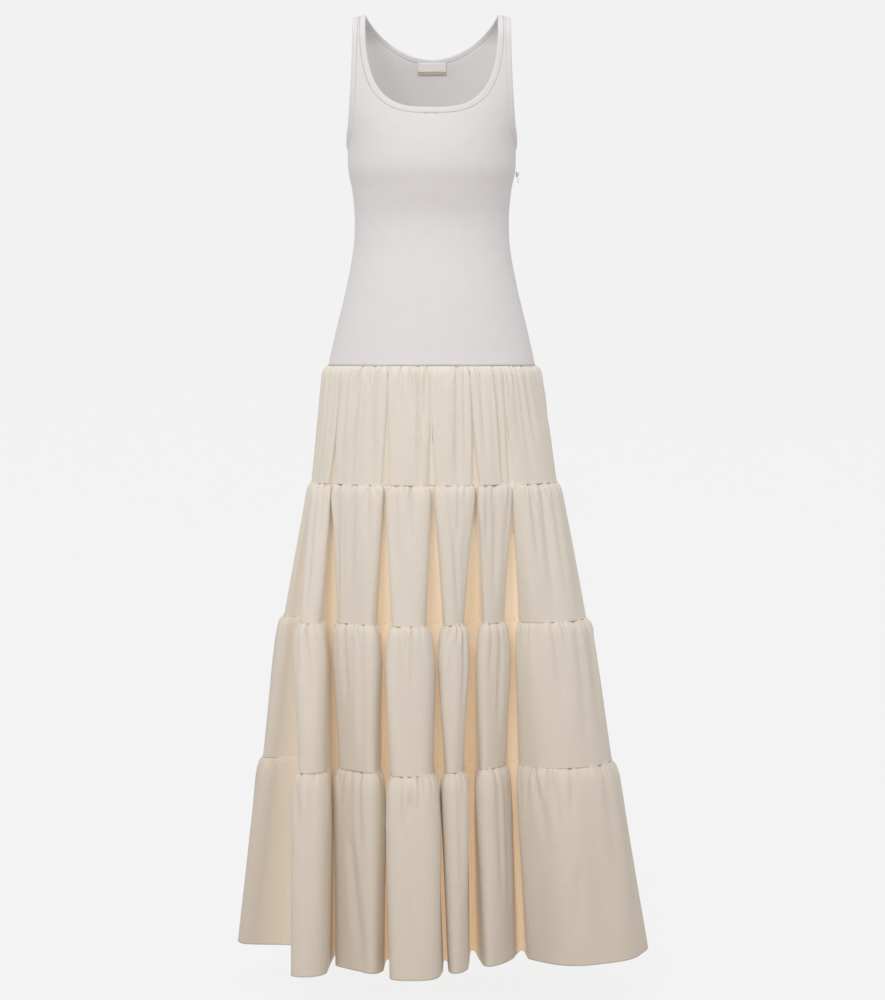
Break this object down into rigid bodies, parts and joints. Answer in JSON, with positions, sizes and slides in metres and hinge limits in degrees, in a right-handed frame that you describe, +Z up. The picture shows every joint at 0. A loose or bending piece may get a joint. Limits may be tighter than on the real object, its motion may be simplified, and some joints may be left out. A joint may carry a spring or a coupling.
{
  "type": "maxi dress",
  "caption": "Sleeveless maxi dress, filled out: scoop-neck knit tank bodice, dropped waist, gathered woven tiers and a concealed side zip.",
  "frame": {"origin": "midway between the two shoulder seams, where the wearer's shoulders carry the dress", "axes": "+Z up, -Y out of the front, +X towards the wearer's left side, where the zip is"},
  "size_m": [0.6171, 0.4824, 1.3929],
  "materials": {
    "knit": "fine rib knit, matt",
    "binding": "folded rib knit, matt",
    "woven": "plain woven linen blend, matt",
    "label": "smooth woven label",
    "label_tab": "smooth woven tape",
    "zip_tape": "knitted zip tape",
    "zip_metal": "enamelled zinc"
  },
  "bodies": {
    "dress": {"bodice_front": "knit", "bodice_back": "knit", "neck_binding": "binding", "armhole_binding_left": "binding", "armhole_binding_right": "binding", "tier_1_front": "woven", "tier_1_back": "woven", "tier_2_front": "woven", "tier_2_back": "woven", "tier_3_front": "woven", "tier_3_back": "woven", "tier_4_front": "woven", "tier_4_back": "woven", "neck_label": "label", "label_tab": "label_tab", "zip_tape": "zip_tape", "zip_slider": "zip_metal"},
    "zip_pull": {"zip_pull": "zip_metal"}
  },
  "joints": [
    {"name": "pull_swing", "type": "hinge", "parent": "dress", "child": "zip_pull", "pos_m": [0.12878, 0, -0.236], "axis": [0, -1, 0], "range_deg": [0, 150]}
  ]
}
